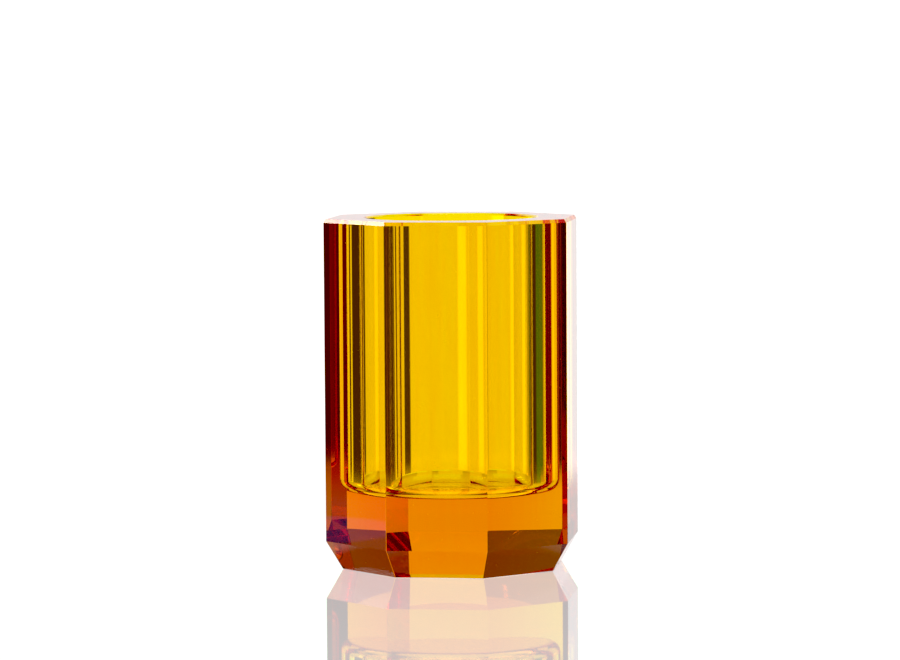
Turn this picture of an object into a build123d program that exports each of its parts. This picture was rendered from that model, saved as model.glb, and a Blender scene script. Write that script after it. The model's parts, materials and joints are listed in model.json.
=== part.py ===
from build123d import *

import os
from math import cos, radians, tan

# Octagonal cut-crystal candle holder: one thick block of amber glass, ground and
# polished flat on eight sides, with a wide round blind bore for the candle.
# Millimetres, +Z up. The origin is the middle of the resting face. The eight facets
# face +X, -X, +Y, -Y and the four directions halfway between them.

# Driving dimensions
SIDES = 8
ACROSS_FLATS = 80.0
HEIGHT = 115.5
BORE_DIAMETER = 57.0
BASE_THICKNESS = 25.0  # solid glass under the floor of the bore
FLOOR_FILLET = 4.0  # pressed radius where the bore wall turns into its floor
MOUTH_BEVEL = 0.5  # polished edge between the bore and the top face
FOOT_BEVEL_HEIGHT = 9.3  # how far the foot facets run up the sides
FOOT_BEVEL_DEPTH = 5.2  # how far the foot facets run in under the sides
RIM_BEVEL_HEIGHT = 1.2
RIM_BEVEL_DEPTH = 0.7
ARRIS_WIDTH = 0.2  # polished strip along each upright corner and foot corner

# Worked-out dimensions
APOTHEM = ACROSS_FLATS / 2
HALF_FACET_TURN = 180 / SIDES
BORE_DEPTH = HEIGHT - BASE_THICKNESS
CORNER_HALF_ANGLE = 90 - HALF_FACET_TURN
ARRIS_CUT = ARRIS_WIDTH / 2 / tan(radians(CORNER_HALF_ANGLE))


def corner_reach(apothem):
    """Distance from the axis to the sharp corners of an octagon of this apothem."""
    return apothem / cos(radians(HALF_FACET_TURN))


def faceted_block(apothem, turn, foot_depth, rim_depth):
    """Solid eight-sided prism with a bevelled foot and rim, its facets turned by turn."""
    with BuildPart() as block:
        with BuildSketch():
            RegularPolygon(apothem, SIDES, major_radius=False, rotation=turn)
        extrude(amount=HEIGHT)
        resting_face = block.faces().sort_by(Axis.Z)[0]
        chamfer(resting_face.edges(), foot_depth, FOOT_BEVEL_HEIGHT, reference=resting_face)
        top_face = block.faces().sort_by(Axis.Z)[-1]
        chamfer(top_face.edges(), rim_depth, RIM_BEVEL_HEIGHT, reference=top_face)
    return block.part


# The eight ground facets, with the foot and rim bevels, meeting in sharp corners
facets = faceted_block(APOTHEM, HALF_FACET_TURN, FOOT_BEVEL_DEPTH, RIM_BEVEL_DEPTH)

# The same block turned half a facet and a little larger: it takes the sharpness off
# every corner by the same amount, from the foot to the rim
sharp_corner = corner_reach(APOTHEM)
arrises = faceted_block(
    sharp_corner - ARRIS_CUT,
    0,
    sharp_corner - corner_reach(APOTHEM - FOOT_BEVEL_DEPTH),
    sharp_corner - corner_reach(APOTHEM - RIM_BEVEL_DEPTH),
)

with BuildPart() as crystal_body:
    add(facets)
    add(arrises, mode=Mode.INTERSECT)
    with Locations((0, 0, HEIGHT)):
        Hole(BORE_DIAMETER / 2, BORE_DEPTH)
    bore_rings = crystal_body.edges().filter_by(GeomType.CIRCLE).sort_by(Axis.Z)
    fillet(bore_rings[0], FLOOR_FILLET)
    bore_rings = crystal_body.edges().filter_by(GeomType.CIRCLE).sort_by(Axis.Z)
    chamfer(bore_rings[-1], MOUTH_BEVEL)
crystal_body.part.label = "crystal_body"

os.makedirs("parts", exist_ok=True)
export_step(crystal_body.part, "parts/crystal_body.step")
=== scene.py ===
import json
import math

import bmesh
import bpy
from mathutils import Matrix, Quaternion, Vector


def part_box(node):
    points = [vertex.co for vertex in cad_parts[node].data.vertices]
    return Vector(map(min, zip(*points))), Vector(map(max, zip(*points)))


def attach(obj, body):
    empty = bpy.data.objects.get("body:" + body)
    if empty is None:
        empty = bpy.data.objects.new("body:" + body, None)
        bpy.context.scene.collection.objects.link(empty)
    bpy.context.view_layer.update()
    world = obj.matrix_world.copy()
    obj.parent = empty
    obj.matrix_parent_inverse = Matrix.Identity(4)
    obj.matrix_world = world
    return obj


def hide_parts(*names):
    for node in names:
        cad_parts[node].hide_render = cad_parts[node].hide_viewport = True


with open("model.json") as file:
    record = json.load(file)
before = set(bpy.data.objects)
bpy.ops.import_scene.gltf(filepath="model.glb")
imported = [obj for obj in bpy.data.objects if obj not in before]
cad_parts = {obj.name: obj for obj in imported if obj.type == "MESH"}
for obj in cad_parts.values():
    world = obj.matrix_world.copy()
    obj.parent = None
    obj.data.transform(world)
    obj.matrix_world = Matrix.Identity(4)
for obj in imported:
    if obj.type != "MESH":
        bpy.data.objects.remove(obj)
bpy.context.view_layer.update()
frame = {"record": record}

# An octagonal candle holder cut from one thick block of amber crystal, on a glossy
# white table in a small studio. Everything is in metres, in the frame of the CAD part:
# the resting face is on z = 0, the bore's axis is the Z axis, and the facets face
# +X, -X, +Y, -Y and the directions halfway between.

MM = 0.001
SCENE = bpy.context.scene


def mount(name):
    """One of the part's mounts, as the record gives it."""
    return next(entry for entry in frame["record"]["mounts"] if entry["name"] == name)


# ---------------------------------------------------------------- sizes of the glass
FOOT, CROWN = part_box("crystal_body")
SIDES = 8
HALF_TURN = math.pi / SIDES
APOTHEM = (CROWN.x - FOOT.x) / 2
HEIGHT = CROWN.z
BORE_RADIUS = mount("candle_bore")["dims"]["r_mm"] * MM
BORE_LENGTH = mount("candle_bore")["dims"]["length_mm"] * MM
FLOOR_HEIGHT = mount("candle_seat")["pos_m"][2]
MOUTH_BEVEL = 0.5 * MM
FLOOR_FILLET = HEIGHT - FLOOR_HEIGHT - MOUTH_BEVEL - BORE_LENGTH
FOOT_BEVEL_HEIGHT = 9.3 * MM
FOOT_BEVEL_DEPTH = 5.2 * MM
RIM_BEVEL_HEIGHT = 1.2 * MM
RIM_BEVEL_DEPTH = 0.7 * MM
ARRIS_WIDTH = 0.2 * MM

# Waves in the bore's wall: their size, how many go round the bore, their phase, and how
# far they turn from the foot to the rim, both in radians
RIPPLES = (
    (0.020 * MM, 5, 0.4, 0.5),
    (0.010 * MM, 13, 1.9, 0.8),
    (0.005 * MM, 31, 2.7, 1.2),
    (0.0025 * MM, 59, 5.1, 0.6),
)
RIPPLE_FADE = 4  # power of the radius by which they die out across the bore's floor
BORE_SEGMENTS = 512
WALL_RINGS = 28
FILLET_RINGS = 24
GUARD = 0.2 * MM  # between an edge or the fillet and the ring that keeps its shading local
SHARP_ANGLE = math.radians(12)  # edges that turn more stay crisp

# ------------------------------------------------------------------------- the glass
GLASS_IOR = 1.52
ABSORPTION = (1.5, 15.9, 210.0)  # of red, green and blue light, per metre of glass
TINT = (1.0, 0.945, 0.1)  # what the surface adds to that colour
DEEP_TINT = (1.0, 0.905, 0.08)  # and what it adds in the streaks
STREAKS_PER_METRE = (90.0, 90.0, 9.0)
STREAK_LEVELS = (0.35, 0.65)  # of the noise: no streak, full streak
SPECKS_PER_METRE = 420.0
SPECK_RADII = (0.085, 0.05)  # in cells: clear outside the first, frosted inside the second
SPECK_CHANCES = (0.72, 0.8)  # a cell's random number: no speck, full speck
SPECK_ROUGHNESS = 0.35
MARKS_PER_METRE = (1500.0, 1500.0, 160.0)
MARK_SLANT = (0.5, 0.9, 0.3)  # radians about X, Y and Z
MARK_LEVELS = (0.74, 0.8)  # of the noise: no mark, full mark
FOOT_MARK_LEVELS = (0.6, 0.7)  # the foot's bevel has more of them
MARK_SHARE = 0.6  # roughness of a mark, as a share of a speck's
WAVES_PER_METRE = 55.0
WAVE_HEIGHT = 0.004 * MM

# ------------------------------------------------------------------------- the table
TABLE_RADIUS = 0.35
TABLE_FADE = 0.65  # share of the radius where it starts to fade into the white
TABLE_DROP = 0.15 * MM  # air gap under the ground resting face
TABLE_IOR = 1.75
TABLE_ROUGHNESS = 0.02
TABLE_GLOW = 0.96
# The camera sees the glow even. Every other ray meets more of it under the foot, and
# less of it under and beside the foot's front half. Of each pair of limits, the change
# is nothing at the first and complete at the second.
FOOT_GLOW = 0.8
FOOT_RADII = (35 * MM, 33 * MM)
FRONT_SHADE = 0.75
SHADE_RADII = (48 * MM, 43 * MM)
SHADE_FRONTS = (0.0, -10 * MM)
# A violet gel on the light box, which the camera doesn't see itself
GEL_PLACE = (-0.145, 0.018, 0.0)
GEL_RADII = (48 * MM, 40 * MM)
GEL_COLOUR = (0.5, 0.0, 1.1)

# ------------------------------------------------------------------------ the studio
# Soft cards round the object: middle azimuth, half width, lowest and highest elevation,
# edge softness, all in degrees, then colour and strength. Azimuth 0 is behind the
# object, +Y, and grows towards +X. Where cards overlap, their light adds up.
WHITE = (1.0, 1.0, 1.0)
CARDS = (
    # Behind and below the horizon: seen through the walls of the cup
    (-4, 26, -10, 0, 3, WHITE, 0.98),  # backdrop
    (10, 5, -10, 0, 3, WHITE, 0.38),  # its brightest part
    (27, 6, -10, 0, 4, WHITE, 0.55),  # its falling edge
    (-46, 4.5, -10, 8, 1.5, WHITE, 0.95),  # narrow strip light
    (47, 12, -10, 8, 3, (0.1, 1.0, 0.3), 0.18),  # green reflector
    # Behind and just above the horizon: seen in the base
    (-14, 32, 0, 7.5, 0.2, WHITE, 0.9),  # backdrop
    (30, 12, 0, 7.5, 0.2, (1.0, 0.34, 0.05), 0.98),  # warm panel
    # A little higher: seen in the base's image in the table
    (-26, 22, 7.5, 8.8, 0.2, (1.1, 2.0, 1.0), 0.9),  # lime part of the backdrop
    (7, 11, 7.5, 8.8, 0.2, WHITE, 0.9),  # white part of the backdrop
    (30, 12, 7.5, 8.8, 0.2, (1.1, 1.5, 0.9), 0.9),  # cream panel over the warm one
    # Above those: seen in the foot's bevel
    (-4, 14, 8.8, 19, 0.2, WHITE, 0.9),  # top of the backdrop
    (-34, 14, 8.8, 19, 0.2, (1.0, 0.8, 0.7), 0.15),  # dim curtain on its left
    (26, 14, 8.8, 19, 0.2, (1.0, 0.4, 0.0), 0.17),  # dim curtain on its right
    # Higher still: seen in the bevel's image in the table
    (-8, 16, 19, 34, 3, (0.72, 1.2, 1.0), 1.4),  # frame over the backdrop
    (-42, 16, 19, 34, 3, WHITE, 0.5),  # frame over the left curtain
    (36, 20, 19, 34, 3, (1.0, 0.3, 0.3), 0.4),  # frame over the right curtain
    # The key light, which the rim's bevel mirrors
    (-71, 7, 21, 35, 3, WHITE, 8.0),
    # The rest of the room
    (-125, 28, -10, 0, 4, WHITE, 0.4),  # left wall, low down
    (-128, 28, 0, 9, 4, WHITE, 0.7),  # left wall
    (135, 24, -10, 0, 4, WHITE, 0.1),  # right wall, low down
    (132, 26, 0, 9, 4, WHITE, 0.6),  # right wall
    (180, 120, 14, 40, 4, WHITE, 0.5),  # upper walls, at the sides and in front
    (0, 180, 74, 90, 3, WHITE, 1.2),  # ceiling
    (0, 180, -90, -13, 2, WHITE, 0.95),  # white floor
)
GLOOM = (0.10, 0.075, 0.07)  # light from everywhere, between the cards too
# The camera sees plain white past the object, straight on or in one mirror
PLAIN_WHITE = 1.17
HORIZON_WHITE = 0.97  # the mirrored white below the first of these elevations
HORIZON_ENDS = (3.5, 5.0)  # above the second one it is plain white
MIRROR_LOWEST = (0.0, 1.0)  # elevations where the mirrored white starts
MIRROR_HIGHEST = (45.0, 38.0)  # and where it ends
MIRROR_DEPTH = 2.5  # at the sky, a ray from the first mirror has depth 2, later ones more
BLACK = 0.03  # level that the picture's curve takes down to black

# ------------------------------------------------------------------------ the camera
# It stands in front of the holder, turned round the bore's axis from -Y towards +X, and
# looks at the axis and a little down. Yaw and roll are small corrections to that.
VIEW_TURN = math.radians(7.46)
VIEW_DISTANCE = 1.36
VIEW_HEIGHT = 0.17715
VIEW_PITCH = math.radians(-4.17)
VIEW_ROLL = math.radians(-0.367)
VIEW_YAW = math.radians(-0.023)
LENS = 164.8  # focal length and sensor width are in millimetres
SENSOR_WIDTH = 36.0


# ------------------------------------------------------------------ shape of the glass
def cut_corner_ring(apothem, height):
    """The sixteen points of an octagon whose corners are cut off by the arris."""
    reach = apothem / math.cos(HALF_TURN)
    setback = ARRIS_WIDTH / 2 / math.cos(HALF_TURN)
    points = []
    for side in range(SIDES):
        corner_turn = HALF_TURN * (2 * side + 1)
        corner = Vector((math.cos(corner_turn), math.sin(corner_turn), 0)) * reach
        corner.z = height
        for facet_turn, way in ((corner_turn - HALF_TURN, -1), (corner_turn + HALF_TURN, 1)):
            along = Vector((-math.sin(facet_turn), math.cos(facet_turn), 0))
            points.append(corner + along * setback * way)
    return points


def ripple(turn, height):
    """How far the moulded wall of the bore is out of round here."""
    rise = height / HEIGHT
    return sum(
        size * math.sin(count * turn + phase + lean * rise)
        for size, count, phase, lean in RIPPLES
    )


def round_ring(radius, height, rippled=0.0):
    """Points round the bore's axis, out of round by this share of the ripple."""
    points = []
    for step in range(BORE_SEGMENTS):
        turn = math.tau * step / BORE_SEGMENTS
        reach = radius + rippled * ripple(turn, height)
        points.append(Vector((reach * math.cos(turn), reach * math.sin(turn), height)))
    return points


def bore_profile():
    """Radius and height down the bore's wall, round the fillet and on to the floor."""
    wall_top = HEIGHT - MOUTH_BEVEL
    wall_foot = FLOOR_HEIGHT + FLOOR_FILLET
    profile = [(BORE_RADIUS, wall_top), (BORE_RADIUS, wall_top - GUARD)]
    for step in range(1, WALL_RINGS):
        profile.append((BORE_RADIUS, wall_top + (wall_foot - wall_top) * step / WALL_RINGS))
    profile.append((BORE_RADIUS, wall_foot + GUARD))
    for step in range(FILLET_RINGS + 1):
        turn = math.pi / 2 * step / FILLET_RINGS
        radius = BORE_RADIUS - FLOOR_FILLET * (1 - math.cos(turn))
        profile.append((radius, wall_foot - FLOOR_FILLET * math.sin(turn)))
    profile.append((BORE_RADIUS - FLOOR_FILLET - GUARD, FLOOR_HEIGHT))
    return profile


def add_ring(bm, points):
    return [bm.verts.new(point) for point in points]


def add_bands(bm, rings):
    """Quads from each ring to the next; all of them have the same count."""
    for near, far in zip(rings, rings[1:]):
        for here in range(len(near)):
            after = (here + 1) % len(near)
            bm.faces.new((near[here], near[after], far[after], far[here]))


def loop_edges(bm, ring):
    return [bm.edges.get((ring[i - 1], ring[i])) for i in range(len(ring))]


def add_object(name, bm):
    """Turns a finished bmesh into an object of the scene."""
    mesh = bpy.data.meshes.new(name)
    bm.to_mesh(mesh)
    bm.free()
    made = bpy.data.objects.new(name, mesh)
    SCENE.collection.objects.link(made)
    return made


def build_crystal():
    """The whole cut block as one closed mesh: flat facets outside, smooth bore inside."""
    bm = bmesh.new()
    outline = (
        (APOTHEM - FOOT_BEVEL_DEPTH, 0.0),
        (APOTHEM, FOOT_BEVEL_HEIGHT),
        (APOTHEM, HEIGHT - RIM_BEVEL_HEIGHT),
        (APOTHEM - RIM_BEVEL_DEPTH, HEIGHT),
    )
    rings = [add_ring(bm, cut_corner_ring(apothem, z)) for apothem, z in outline]
    add_bands(bm, rings)
    bm.faces.new(rings[0][::-1])

    mouth = add_ring(bm, round_ring(BORE_RADIUS + MOUTH_BEVEL, HEIGHT))
    bore = [
        add_ring(bm, round_ring(radius, z, (radius / BORE_RADIUS) ** RIPPLE_FADE))
        for radius, z in bore_profile()
    ]
    add_bands(bm, [mouth, *bore])
    bm.faces.new(bore[-1])
    bmesh.ops.triangle_fill(
        bm,
        use_beauty=True,
        use_dissolve=False,
        edges=loop_edges(bm, rings[-1]) + loop_edges(bm, mouth),
    )
    bmesh.ops.recalc_face_normals(bm, faces=bm.faces[:])

    # Smooth faces between edges marked sharp: the facets look flat and the bore round
    for face in bm.faces:
        face.smooth = True
    for edge in bm.edges:
        edge.smooth = edge.calc_face_angle() < SHARP_ANGLE
    return add_object("crystal_cup", bm)


# ----------------------------------------------------------------------- node helpers
def new_tree(owner):
    owner.use_nodes = True
    owner.node_tree.nodes.clear()
    return owner.node_tree


def fill(tree, socket, value):
    """Sets an input, or feeds it from the output of another node."""
    if isinstance(value, bpy.types.NodeSocket):
        tree.links.new(value, socket)
    else:
        socket.default_value = value


def put(tree, kind, *values, **settings):
    """A new node: values for its inputs in order, then its options and inputs by name."""
    node = tree.nodes.new(kind)
    for slot, value in enumerate(values):
        fill(tree, node.inputs[slot], value)
    for name, value in settings.items():
        if hasattr(node, name):
            setattr(node, name, value)
        else:
            fill(tree, node.inputs[name.replace("_", " ")], value)
    return node


def maths(tree, operation, *values):
    return put(tree, "ShaderNodeMath", *values, operation=operation).outputs[0]


def vector_maths(tree, operation, *values, **settings):
    node = put(tree, "ShaderNodeVectorMath", *values, operation=operation, **settings)
    return node.outputs


def ramp(tree, value, low, high):
    """0 at low, 1 at high, smooth between; high may be the smaller one."""
    node = put(
        tree,
        "ShaderNodeMapRange",
        interpolation_type="SMOOTHSTEP",
        Value=value,
        From_Min=min(low, high),
        From_Max=max(low, high),
        To_Min=0.0 if low < high else 1.0,
        To_Max=1.0 if low < high else 0.0,
    )
    return node.outputs["Result"]


def object_place(tree):
    return put(tree, "ShaderNodeTexCoord").outputs["Object"]


def split(tree, vector):
    return put(tree, "ShaderNodeSeparateXYZ", vector).outputs


def light_path(tree):
    return put(tree, "ShaderNodeLightPath").outputs


# ------------------------------------------------------------------ look of the glass
def streaky_tint(tree, place):
    """Faint streaks of stronger colour, drawn out along the height."""
    drawn = put(tree, "ShaderNodeMapping", Vector=place, Scale=STREAKS_PER_METRE)
    noise = put(tree, "ShaderNodeTexNoise", Vector=drawn.outputs[0], Detail=3.0)
    tint = put(tree, "ShaderNodeMix", data_type="RGBA")
    clear, streak = (socket for socket in tint.inputs if socket.type == "RGBA")
    fill(tree, tint.inputs["Factor"], ramp(tree, noise.outputs[0], *STREAK_LEVELS))
    fill(tree, clear, (*TINT, 1))
    fill(tree, streak, (*DEEP_TINT, 1))
    return next(socket for socket in tint.outputs if socket.type == "RGBA")


def dust(tree, place):
    """Specks in the middle of a few of the small cells that divide up the glass."""
    cells = put(tree, "ShaderNodeTexVoronoi", Vector=place, Scale=SPECKS_PER_METRE)
    chance = split(tree, cells.outputs["Color"])[0]
    speck = ramp(tree, cells.outputs["Distance"], *SPECK_RADII)
    return maths(tree, "MULTIPLY", speck, ramp(tree, chance, *SPECK_CHANCES))


def polishing_marks(tree, place):
    """Short slanted marks, more of them low down, on the foot's bevel."""
    slanted = put(
        tree,
        "ShaderNodeMapping",
        Vector=place,
        Scale=MARKS_PER_METRE,
        Rotation=MARK_SLANT,
    )
    noise = put(tree, "ShaderNodeTexNoise", Vector=slanted.outputs[0], Detail=1.0)
    mark = ramp(tree, noise.outputs[0], *MARK_LEVELS)
    foot_mark = ramp(tree, noise.outputs[0], *FOOT_MARK_LEVELS)
    height = split(tree, place)["Z"]
    low_down = ramp(tree, height, FOOT_BEVEL_HEIGHT + MM, FOOT_BEVEL_HEIGHT)
    return maths(tree, "MAXIMUM", mark, maths(tree, "MULTIPLY", foot_mark, low_down))


def wear(tree, place):
    """The roughness of the glass, which is clear except for dust and marks."""
    marks = maths(tree, "MULTIPLY", polishing_marks(tree, place), MARK_SHARE)
    worn = maths(tree, "MAXIMUM", dust(tree, place), marks)
    return maths(tree, "MULTIPLY", worn, SPECK_ROUGHNESS)


def crystal_material():
    """Amber glass, coloured a little by its surface and mostly by its depth."""
    material = bpy.data.materials.new("amber_crystal")
    tree = new_tree(material)
    place = object_place(tree)

    # The facets are polished by hand, so they are very slightly wavy
    waves = put(tree, "ShaderNodeTexNoise", Vector=place, Scale=WAVES_PER_METRE, Detail=1.5)
    wavy = put(tree, "ShaderNodeBump", Height=waves.outputs[0], Distance=WAVE_HEIGHT)
    glass = put(
        tree,
        "ShaderNodeBsdfPrincipled",
        Base_Color=streaky_tint(tree, place),
        Roughness=wear(tree, place),
        Normal=wavy.outputs[0],
        Transmission_Weight=1.0,
        IOR=GLASS_IOR,
    )
    strongest = max(ABSORPTION)
    passed = [1 - loss / strongest for loss in ABSORPTION]
    depth = put(tree, "ShaderNodeVolumeAbsorption", Color=(*passed, 1), Density=strongest)
    put(
        tree,
        "ShaderNodeOutputMaterial",
        Surface=glass.outputs[0],
        Volume=depth.outputs[0],
    )
    return material


# -------------------------------------------------------------------------- the table
def box_glow(tree, place, away, camera):
    """The light box's glow: even for the camera, uneven for every other ray."""
    under = ramp(tree, away, *FOOT_RADII)
    shade = ramp(tree, away, *SHADE_RADII)
    front = ramp(tree, split(tree, place)["Y"], *SHADE_FRONTS)
    shade = maths(tree, "MULTIPLY", shade, front)
    lit = maths(tree, "MULTIPLY_ADD", shade, -FRONT_SHADE, 1)
    lit = maths(tree, "MULTIPLY_ADD", under, FOOT_GLOW, lit)
    return maths(tree, "MULTIPLY", maths(tree, "MAXIMUM", lit, camera), TABLE_GLOW)


def gel_glow(tree, place, camera):
    """The violet light of the gel, for every ray but the camera's."""
    gel = ramp(tree, vector_maths(tree, "DISTANCE", place, GEL_PLACE)["Value"], *GEL_RADII)
    gel = maths(tree, "MULTIPLY", gel, maths(tree, "SUBTRACT", 1, camera))
    return vector_maths(tree, "SCALE", GEL_COLOUR, Scale=gel)[0]


def table_material():
    """A sheet of polished white acrylic, lit from below so that it throws no shadow."""
    material = bpy.data.materials.new("white_acrylic")
    tree = new_tree(material)
    place = object_place(tree)
    away = vector_maths(tree, "LENGTH", place)["Value"]
    camera = light_path(tree)["Is Camera Ray"]
    box = box_glow(tree, place, away, camera)
    gel = gel_glow(tree, place, camera)
    colour = vector_maths(tree, "ADD", box, gel)[0]
    glow = put(tree, "ShaderNodeEmission", Color=colour, Strength=1.0)
    polish = put(tree, "ShaderNodeBsdfGlossy", Color=(1, 1, 1, 1), Roughness=TABLE_ROUGHNESS)
    gloss = put(tree, "ShaderNodeFresnel", IOR=TABLE_IOR).outputs[0]
    sheet = put(tree, "ShaderNodeMixShader", gloss, glow.outputs[0], polish.outputs[0])
    clear = put(tree, "ShaderNodeBsdfTransparent")
    shown = ramp(tree, away, TABLE_RADIUS, TABLE_RADIUS * TABLE_FADE)
    faded = put(tree, "ShaderNodeMixShader", shown, clear.outputs[0], sheet.outputs[0])
    put(tree, "ShaderNodeOutputMaterial", Surface=faded.outputs[0])
    return material


def build_table():
    bm = bmesh.new()
    bmesh.ops.create_circle(bm, cap_ends=True, segments=128, radius=TABLE_RADIUS)
    floor = add_object("floor", bm)
    floor.location.z = -TABLE_DROP
    floor.data.materials.append(table_material())


# ------------------------------------------------------------------------- the studio
def card_light(tree, azimuth, elevation):
    """The light of the gloom and of all the cards, by direction."""
    total = put(tree, "ShaderNodeRGB").outputs[0]
    total.default_value = (*GLOOM, 1)
    for middle, half, low, high, soft, colour, strength in CARDS:
        off = maths(tree, "ABSOLUTE", maths(tree, "SUBTRACT", azimuth, middle))
        off = maths(tree, "MINIMUM", off, maths(tree, "SUBTRACT", 360, off))
        mask = ramp(tree, off, half + soft / 2, half - soft / 2)
        mask = maths(tree, "MULTIPLY", mask, ramp(tree, elevation, low - soft, low + soft))
        mask = maths(tree, "MULTIPLY", mask, ramp(tree, elevation, high + soft, high - soft))
        mask = maths(tree, "MULTIPLY", mask, strength)
        card = vector_maths(tree, "SCALE", colour, Scale=mask)[0]
        total = vector_maths(tree, "ADD", total, card)[0]
    return total


def plain_white(tree, elevation):
    """The white past the object, for the camera and for the first mirror only."""
    path = light_path(tree)
    direct = path["Is Camera Ray"]
    mirrored = maths(tree, "LESS_THAN", path["Ray Depth"], MIRROR_DEPTH)
    mirrored = maths(tree, "MULTIPLY", mirrored, path["Is Glossy Ray"])
    mirrored = maths(tree, "MULTIPLY", mirrored, ramp(tree, elevation, *MIRROR_LOWEST))
    mirrored = maths(tree, "MULTIPLY", mirrored, ramp(tree, elevation, *MIRROR_HIGHEST))
    white = maths(tree, "MAXIMUM", direct, ramp(tree, elevation, *HORIZON_ENDS))
    white = maths(tree, "MULTIPLY_ADD", white, PLAIN_WHITE - HORIZON_WHITE, HORIZON_WHITE)
    return maths(tree, "MULTIPLY", white, maths(tree, "MAXIMUM", direct, mirrored))


def build_studio():
    world = bpy.data.worlds.new("studio")
    SCENE.world = world
    tree = new_tree(world)
    direction = split(tree, put(tree, "ShaderNodeTexCoord").outputs["Generated"])
    azimuth = maths(tree, "ARCTAN2", direction["X"], direction["Y"])
    azimuth = maths(tree, "DEGREES", azimuth)
    elevation = maths(tree, "DEGREES", maths(tree, "ARCSINE", direction["Z"]))
    cards = card_light(tree, azimuth, elevation)
    sky = vector_maths(tree, "MAXIMUM", cards, plain_white(tree, elevation))[0]
    light = put(tree, "ShaderNodeBackground", Color=sky)
    put(tree, "ShaderNodeOutputWorld", Surface=light.outputs[0])


# -------------------------------------------------------------------- camera and film
def place_camera():
    """A long lens a little above the rim, turned towards the holder."""
    lens = bpy.data.cameras.new("camera")
    lens.lens = LENS
    lens.sensor_width = SENSOR_WIDTH
    camera = bpy.data.objects.new("camera", lens)
    SCENE.collection.objects.link(camera)
    back = Vector((math.sin(VIEW_TURN), -math.cos(VIEW_TURN), 0))
    right = Vector((math.cos(VIEW_TURN), math.sin(VIEW_TURN), 0))
    camera.location = back * VIEW_DISTANCE + Vector((0, 0, VIEW_HEIGHT))
    ahead = -back * math.cos(VIEW_PITCH) + Vector((0, 0, math.sin(VIEW_PITCH)))
    ahead = (ahead + right * math.tan(VIEW_YAW)).normalized()
    level = ahead.to_track_quat("-Z", "Y")
    camera.rotation_mode = "QUATERNION"
    camera.rotation_quaternion = level @ Quaternion((0, 0, 1), VIEW_ROLL)
    SCENE.camera = camera


def set_light_paths():
    """Enough bounces for light to find its way out of a solid block of cut glass."""
    SCENE.cycles.max_bounces = 40
    SCENE.cycles.transmission_bounces = 40
    SCENE.cycles.glossy_bounces = 24
    SCENE.cycles.transparent_max_bounces = 16
    SCENE.cycles.sample_clamp_indirect = 4.0
    SCENE.cycles.use_denoising = True


def set_tones():
    """Plain tones, with the darkest ones taken down to black."""
    SCENE.view_settings.view_transform = "Standard"
    SCENE.view_settings.use_curve_mapping = True
    SCENE.view_settings.curve_mapping.black_level = (BLACK, BLACK, BLACK)
    SCENE.view_settings.curve_mapping.update()


place_camera()
build_studio()
build_table()
set_light_paths()
set_tones()

crystal = build_crystal()
crystal.data.materials.append(crystal_material())
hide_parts("crystal_body")
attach(crystal, "root")
